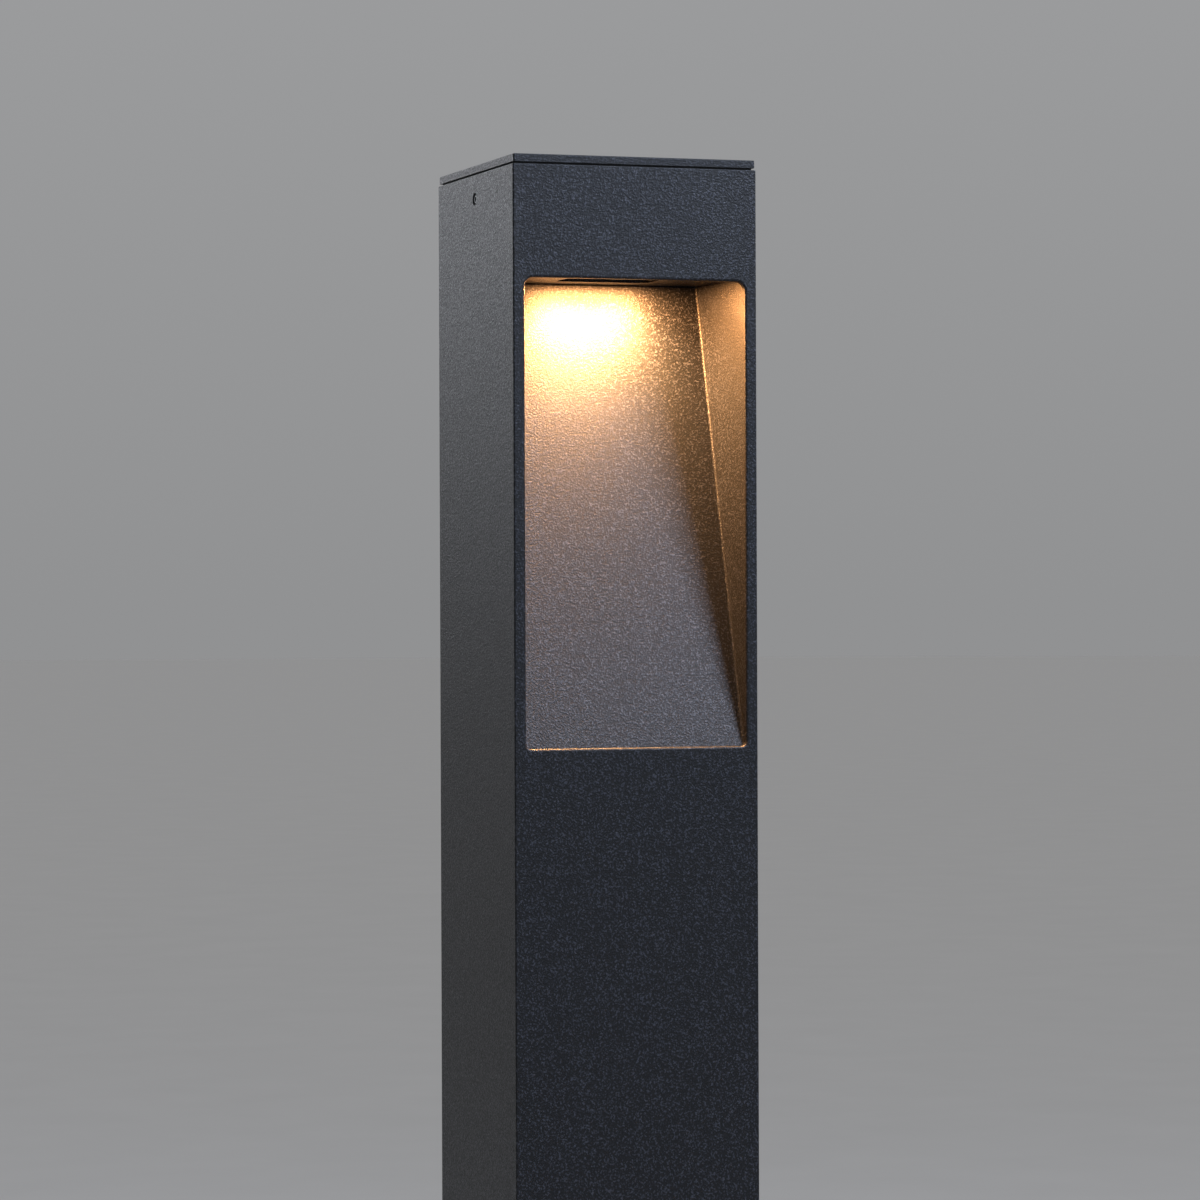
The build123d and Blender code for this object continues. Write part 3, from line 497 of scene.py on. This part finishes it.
class BollardCoat(bpy.types.PropertyGroup):
    """The powder coat's colours, its painted glints and its grain."""

    dark: FloatVectorProperty(
        name="Dark", description="Ground colour at its darkest", subtype="COLOR",
        default=linear("070809")[:3])
    light: FloatVectorProperty(
        name="Light", description="Ground colour at its lightest", subtype="COLOR",
        default=linear("0B0C0E")[:3])
    # Painted glint: a lighter colour painted on the grain crests, in place of light that they
    # catch.
    painted_glint: FloatVectorProperty(
        name="Fleck", description="Colour on the crests of the grains", subtype="COLOR",
        default=linear("303238")[:3])
    grain: FloatProperty(
        name="Grain", description="Width of one grain in millimetres", default=0.9)
    depth: FloatProperty(
        name="Depth", description="Height of the grains in millimetres", default=0.28)
    roughness: FloatProperty(
        name="Roughness", description="Mean roughness of the coat", default=0.42)
    gloss: FloatProperty(
        name="Gloss", description="Specular level of the matting agent's skin", default=0.2)


class BollardGrub(bpy.types.PropertyGroup):
    """An M5 grub screw."""

    pitch: FloatProperty(
        name="Pitch", description="Thread pitch", default=0.8 * MM, unit="LENGTH")
    thread_depth: FloatProperty(
        name="Thread depth", description="From crest to root", default=0.42 * MM, unit="LENGTH")
    bury: FloatProperty(
        name="Bury", description="How far a tooth reaches into the core",
        default=0.05 * MM, unit="LENGTH")
    chamfer: FloatProperty(
        name="Chamfer", description="Bevel at both ends", default=0.25 * MM, unit="LENGTH")
    socket: FloatProperty(
        name="Socket", description="Hexagon across flats", default=2.5 * MM, unit="LENGTH")
    socket_depth: FloatProperty(
        name="Socket depth", description="Depth of the hexagon", default=2.2 * MM, unit="LENGTH")


class BollardBeads(bpy.types.PropertyGroup):
    """The weld in the foot and the sealant around the lamp housing."""

    weld_radius: FloatProperty(
        name="Weld radius", description="Radius of the weld bead", default=3 * MM,
        unit="LENGTH")
    weld_step: FloatProperty(
        name="Weld step", description="From one ripple of the weld to the next",
        default=2.4 * MM, unit="LENGTH")
    sealant_radius: FloatProperty(
        name="Sealant radius", description="Radius of the sealant bead", default=1.1 * MM,
        unit="LENGTH")
    sealant_step: FloatProperty(
        name="Sealant step", description="From one swell of the sealant to the next",
        default=5 * MM, unit="LENGTH")
    corner: FloatProperty(
        name="Corner", description="Radius that a bead turns a corner with", default=4 * MM,
        unit="LENGTH")
    ripple: FloatProperty(
        name="Ripple", description="Share of its radius that a bead swells and shrinks by",
        default=0.08)


class BollardCamera(bpy.types.PropertyGroup):
    """Where the picture is taken from, measured from the top of the column tube."""

    offset: FloatVectorProperty(
        name="Offset", description="Camera place from the column's top centre",
        default=(-0.6661, -1.9641, -0.2029), unit="LENGTH")
    heading: FloatProperty(
        name="Heading", description="Turn to the right from looking along +Y",
        default=math.radians(18.79), unit="ROTATION")
    pitch: FloatProperty(
        name="Pitch", description="Tilt upwards", default=math.radians(0.029), unit="ROTATION")
    roll: FloatProperty(
        name="Roll", description="Turn about the line of sight",
        default=math.radians(-0.207), unit="ROTATION")
    lens: FloatProperty(
        name="Lens", description="Focal length in millimetres, on a sensor 36 mm wide",
        default=129.9)


class BollardLamp(bpy.types.PropertyGroup):
    """The lamp's light."""

    beam_colour: FloatVectorProperty(
        name="Beam colour", description="Warm white of the beam's middle",
        subtype="COLOR", default=(1.0, 0.53, 0.22))
    spill_colour: FloatVectorProperty(
        name="Spill colour", description="Amber of the light that leaves at low angles",
        subtype="COLOR", default=(1.0, 0.43, 0.14))
    drop: FloatProperty(
        name="Drop", description="From the glass down to where the light leaves the ceiling",
        default=3.4 * MM, unit="LENGTH")
    shift: FloatProperty(
        name="Shift", description="How far to the rear the optic lets go its side light",
        default=9 * MM, unit="LENGTH")
    width: FloatProperty(
        name="Width", description="Lit width of the optic", default=46 * MM, unit="LENGTH")
    depth: FloatProperty(
        name="Depth", description="Lit depth of the optic", default=22 * MM, unit="LENGTH")
    spill: FloatProperty(
        name="Spill", description="Power that the optic lets go to its sides, in watts",
        default=2.7)
    beam: FloatProperty(
        name="Beam", description="Power in the optic's beam, in watts", default=1.5)
    beam_angle: FloatProperty(
        name="Beam angle", description="Full angle of the beam", default=math.radians(124),
        unit="ROTATION")
    chip_glow: FloatProperty(
        name="Chip glow", description="Brightness of the LED chips", default=12.0)


class BollardStudio(bpy.types.PropertyGroup):
    """The studio's lights."""

    horizon: FloatProperty(
        name="Horizon", description="Brightness of the backdrop at the horizon", default=0.305)
    zenith: FloatProperty(
        name="Zenith", description="Brightness of the backdrop overhead", default=0.5)
    key: FloatProperty(
        name="Key", description="Power of the key light in watts", default=52.0)
    side: FloatProperty(
        name="Side", description="Power of the light behind on the left in watts", default=16.0)
    head: FloatProperty(
        name="Head", description="Power of the small light before the head in watts", default=0.9)
    rim: FloatProperty(
        name="Rim", description="Power of the light behind on the right in watts", default=14.0)


class BollardSettings(bpy.types.PropertyGroup):
    """All settings of the bollard light."""

    coat: PointerProperty(type=BollardCoat)
    grub: PointerProperty(type=BollardGrub)
    beads: PointerProperty(type=BollardBeads)
    camera: PointerProperty(type=BollardCamera)
    lamp: PointerProperty(type=BollardLamp)
    studio: PointerProperty(type=BollardStudio)


# ---------------------------------------------------------------- operators


class BOLLARD_OT_coat_column(bpy.types.Operator):
    """Coat the column, the recess, the deck and the cap with textured powder"""

    bl_idname = "bollard.coat_column"
    bl_label = "Coat the column"

    def execute(self, context):
        coat = textured_powder_coat(context.scene.bollard.coat)
        dress(coat, "column_tube", "cap_plate", "recess_tray", "lamp_deck")
        return {"FINISHED"}


class BOLLARD_OT_finish_foot(bpy.types.Operator):
    """Galvanise the foot and lay its weld inside the spigot"""

    bl_idname = "bollard.finish_foot"
    bl_label = "Finish the foot"

    def execute(self, context):
        zinc = galvanised_steel()
        dress(zinc, "foot_plate", "foot_spigot")
        sizes = context.scene.bollard.beads
        # The bead's middle stands off the wall by a third of its radius: the rest is melted in.
        inset = SPIGOT_WALL + sizes.weld_radius / 3
        weld = bead(
            Vector((0, 0, SPIGOT_LOW.z)), SPIGOT_HIGH.x - inset, SPIGOT_HIGH.y - inset,
            sizes.corner, sizes.weld_radius, sizes.ripple, sizes.weld_step)
        keep(weld, "foot_weld", zinc, "foot")
        return {"FINISHED"}


class BOLLARD_OT_finish_metal(bpy.types.Operator):
    """Finish the sheet metal, castings, extrusions and fasteners"""

    bl_idname = "bollard.finish_metal"
    bl_label = "Finish the metal pieces"

    def execute(self, context):
        # Lines are drawn 50 times as long as wide up the column, and 40 times from front to back.
        up, back = (1.0, 1.0, 1 / 50), (1.0, 1 / 40, 1.0)
        sheet = lined_metal(
            "mill_finish_aluminium_sheet", "B4B7BA", "C9CBCD", up, spacing=0.5, smooth=0.30,
            rough=0.46, groove=0.02)
        case = lined_metal(
            "satin_anodised_case", "9FA2A6", "B3B6B9", up, spacing=0.4, smooth=0.34,
            rough=0.42, groove=0.012)
        extrusion = lined_metal(
            "black_anodised_extrusion", "1B1C1F", "2E3034", back, spacing=0.35, smooth=0.34,
            rough=0.42, groove=0.015, metallic=0.6)
        stainless = fastener_metal(
            "stainless_fastener_steel", "CDCECE", "B0B2B4", grain=0.25, share=0.8,
            smooth=0.20, rough=0.36)
        brass = fastener_metal(
            "turned_brass", "D9B45E", "A98443", grain=1.8, share=1.0, smooth=0.22, rough=0.38)
        dress(sheet, "cap_skirt", "gear_tray")
        dress(case, "driver_case")
        dress(extrusion, "heat_sink")
        dress(cast_aluminium(), "lamp_housing")
        dress(stainless, "board_screws", "housing_nuts", "driver_screws", "box_screws",
              "lid_screws", "earth_stud")
        dress(brass, "terminal_screws", "earth_nut")
        dress(blackened_steel(), "rear_screws")
        return {"FINISHED"}


class BOLLARD_OT_finish_soft(bpy.types.Operator):
    """Finish the plastics, rubbers and leads"""

    bl_idname = "bollard.finish_soft"
    bl_label = "Finish the plastic and rubber pieces"

    def execute(self, context):
        rubber = moulded_rubber("moulded_epdm_rubber", "151516", "2A2A2B", roughness=0.72)
        jacket = moulded_rubber("extruded_rubber_jacket", "18181A", "29292B", roughness=0.55)
        silicone = moulded_rubber("grey_silicone_gasket", "8B8E92", "A0A3A6", roughness=0.48)
        pad = moulded_rubber("pink_thermal_pad", "B98F93", "CBA5A8", roughness=0.66)
        black = moulded_plastic(
            "moulded_black_polyamide", "17181A", "1F2022", roughness=0.48, spark=0.5)
        grey = moulded_plastic(
            "moulded_grey_polycarbonate", "7E8285", "888C8F", roughness=0.42, spark=0.6)
        natural = moulded_plastic(
            "moulded_natural_polyamide", "DAD7CC", "E4E1D8", roughness=0.40, spark=0.5)
        dress(rubber, "cap_gasket", "deck_grommet", "box_gasket")
        dress(jacket, "led_lead", "link_lead")
        dress(silicone, "glass_gasket")
        dress(pad, "thermal_pad")
        dress(black, "vent_plug", "lamp_gland", "lead_clips", "driver_end_caps",
              "supply_gland", "supply_gland_nut", "link_gland", "link_gland_nut")
        dress(grey, "terminal_box", "terminal_lid")
        dress(natural, "terminal_block")
        return {"FINISHED"}


class BOLLARD_OT_finish_lamp(bpy.types.Operator):
    """Finish the glass, optic, board and chips, and seal the housing to its deck"""

    bl_idname = "bollard.finish_lamp"
    bl_label = "Finish the lamp"

    def execute(self, context):
        glass = clear_pane("clear_tempered_glass", "EAF4F0", ior=1.52, haze=0.12, clouds=1.5)
        acrylic = clear_pane("moulded_acrylic_optic", "F7F7FA", ior=1.49, haze=0.08, clouds=1.0)
        dress(glass, "lamp_glass")
        dress(acrylic, "lamp_lens")
        dress(solder_mask(), "led_board")
        dress(lit_phosphor(context.scene.bollard.lamp), "led_chips")
        middle = (HOUSING_LOW + HOUSING_HIGH) / 2
        middle.z = HOUSING_LOW.z
        half = (HOUSING_HIGH - HOUSING_LOW) / 2
        sizes = context.scene.bollard.beads
        sealant = bead(
            middle, half.x, half.y, sizes.corner, sizes.sealant_radius, sizes.ripple,
            sizes.sealant_step)
        skin = moulded_rubber("skinned_silicone_sealant", "2A2B2D", "3B3C3E", roughness=0.35)
        keep(sealant, "housing_sealant", skin, "column")
        return {"FINISHED"}


class BOLLARD_OT_cut_grub_screws(bpy.types.Operator):
    """Make the four grub screws with their threads and sockets"""

    bl_idname = "bollard.cut_grub_screws"
    bl_label = "Cut the grub screws"

    def execute(self, context):
        oxide = blackened_steel()
        for node in ("cap_screw_left", "cap_screw_right", "foot_screw_left", "foot_screw_right"):
            shape = threaded_grub(node, context.scene.bollard.grub)
            piece = keep(shape, node + "_threaded", oxide, node)
            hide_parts(node)
        return {"FINISHED"}


class BOLLARD_OT_stage(bpy.types.Operator):
    """Make the floor, the world, the lights and the camera"""

    bl_idname = "bollard.stage"
    bl_label = "Stage"

    def execute(self, context):
        self.lay_floor(context)
        self.light_world(context)
        self.hang_softboxes(context)
        self.light_lamp(context)
        self.place_camera(context)
        context.scene.view_settings.view_transform = "Standard"
        return {"FINISHED"}

    def lay_floor(self, context):
        """A pale round floor under the foot plate."""
        mesh = bpy.data.meshes.new("studio_floor")
        shape = bmesh.new()
        bmesh.ops.create_circle(
            shape, cap_ends=True, segments=FLOOR_SIDES, radius=FLOOR_RADIUS)
        shape.to_mesh(mesh)
        shape.free()
        mesh.materials.append(studio_floor())
        floor = bpy.data.objects.new("studio_floor", mesh)
        context.scene.collection.objects.link(floor)

    def light_world(self, context):
        """Soft even light, a little brighter overhead than at the horizon."""
        studio = context.scene.bollard.studio
        world = bpy.data.worlds.new("studio")
        world.use_nodes = True
        tree = world.node_tree
        tree.nodes.clear()
        way = add(tree, "ShaderNodeTexCoord", output="Generated")
        height = add(tree, "ShaderNodeSeparateXYZ", {"Vector": way}, "Z")
        strength = add(tree, "ShaderNodeMapRange", {
            "Value": height, "From Min": 0.0, "From Max": 0.6,
            "To Min": studio.horizon, "To Max": studio.zenith})
        light = add(tree, "ShaderNodeBackground", {
            "Color": linear("F7F8FA"), "Strength": strength})
        add(tree, "ShaderNodeOutputWorld", {"Surface": light})
        context.scene.world = world

    def area_light(self, context, name, place, size, power, colour):
        """A rectangular soft light that shines straight down and isn't seen itself."""
        lamp = bpy.data.lights.new(name, "AREA")
        lamp.shape = "RECTANGLE"
        lamp.size, lamp.size_y = size
        lamp.energy = power
        lamp.color = colour
        made = bpy.data.objects.new(name, lamp)
        made.location = place
        made.visible_camera = False
        context.scene.collection.objects.link(made)
        return made

    def hang_softboxes(self, context):
        """Two lights at the front right, one of them high, and two behind for the edges.

        Each has its name, its place from the head, its width and height, power and colour.
        """
        studio = context.scene.bollard.studio
        head = Vector((0, 0, COLUMN_TOP - HEAD_DEPTH))
        for name, place, size, power, colour in (
                ("key_light", (0.72, -1.1, 0.99), (0.5, 0.5), studio.key, "D9E6FF"),
                ("left_light", (-0.9, 2.4, 0.9), (0.8, 1.2), studio.side, "F4F7FF"),
                ("head_light", (0.72, -1.5, 0.42), (0.4, 0.4), studio.head, "E6EEFF"),
                ("rim_light", (2.2, 0.9, 0.7), (0.5, 1.6), studio.rim, "F4F7FF")):
            made = self.area_light(
                context, name, head + Vector(place), size, power, linear(colour)[:3])
            aim = head - made.location
            made.rotation_euler = aim.to_track_quat("-Z", "Y").to_euler()

    def light_lamp(self, context):
        """The optic's beam and its spill, flush with the ceiling; both ride on the column.

        The spill leaves a strip a third as deep as the optic, and the beam shifts a third as far.
        """
        settings = context.scene.bollard.lamp
        middle = (GLASS_LOW + GLASS_HIGH) / 2
        place = Vector((middle.x, middle.y, GLASS_LOW.z - settings.drop))
        for name, power, colour, angle, depth, shift in (
                ("lamp_beam", settings.beam, settings.beam_colour, settings.beam_angle,
                 settings.depth, settings.shift / 3),
                ("lamp_spill", settings.spill, settings.spill_colour, math.pi,
                 settings.depth / 3, settings.shift)):
            made = self.area_light(
                context, name, place + Vector((0, shift, 0)), (settings.width, depth), power,
                colour)
            made.data.spread = angle
            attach(made, "column")

    def place_camera(self, context):
        """The camera, level and a little below the head, looking from the front left."""
        view = context.scene.bollard.camera
        heading, pitch = view.heading, view.pitch
        ahead = Vector((
            math.sin(heading) * math.cos(pitch),
            math.cos(heading) * math.cos(pitch),
            math.sin(pitch)))
        level = Vector((math.cos(heading), -math.sin(heading), 0))
        upright = level.cross(ahead)
        turn = Matrix.Rotation(-view.roll, 3, ahead)
        across, upward = turn @ level, turn @ upright
        camera = bpy.data.cameras.new("camera")
        camera.lens = view.lens
        camera.sensor_width = SENSOR_WIDTH
        made = bpy.data.objects.new("camera", camera)
        rotation = Matrix((across, upward, -ahead)).transposed().to_4x4()
        top = Vector((0, 0, COLUMN_TOP))
        made.matrix_world = Matrix.Translation(top + Vector(view.offset)) @ rotation
        context.scene.collection.objects.link(made)
        context.scene.camera = made


class BOLLARD_PT_panel(bpy.types.Panel):
    """Lists the steps that dress the bollard light"""

    bl_idname = "BOLLARD_PT_panel"
    bl_label = "Bollard light"
    bl_space_type = "VIEW_3D"
    bl_region_type = "UI"
    bl_category = "Bollard"

    def draw(self, context):
        for step in STEPS:
            self.layout.operator(step.bl_idname)


STEPS = (
    BOLLARD_OT_coat_column, BOLLARD_OT_finish_foot, BOLLARD_OT_finish_metal,
    BOLLARD_OT_finish_soft, BOLLARD_OT_finish_lamp, BOLLARD_OT_cut_grub_screws,
    BOLLARD_OT_stage)
CLASSES = (
    BollardCoat, BollardGrub, BollardBeads, BollardCamera, BollardLamp, BollardStudio,
    BollardSettings, *STEPS, BOLLARD_PT_panel)


def register():
    """Registers the classes and hangs the settings on the scene."""
    for each in CLASSES:
        bpy.utils.register_class(each)
    bpy.types.Scene.bollard = PointerProperty(type=BollardSettings)


def unregister():
    """Takes the settings off the scene and the classes out again."""
    del bpy.types.Scene.bollard
    for each in reversed(CLASSES):
        bpy.utils.unregister_class(each)


def main():
    """Dresses the model step by step."""
    register()
    bpy.ops.bollard.coat_column()
    bpy.ops.bollard.finish_foot()
    bpy.ops.bollard.finish_metal()
    bpy.ops.bollard.finish_soft()
    bpy.ops.bollard.finish_lamp()
    bpy.ops.bollard.cut_grub_screws()
    bpy.ops.bollard.stage()


if __name__ == "__main__":
    main()
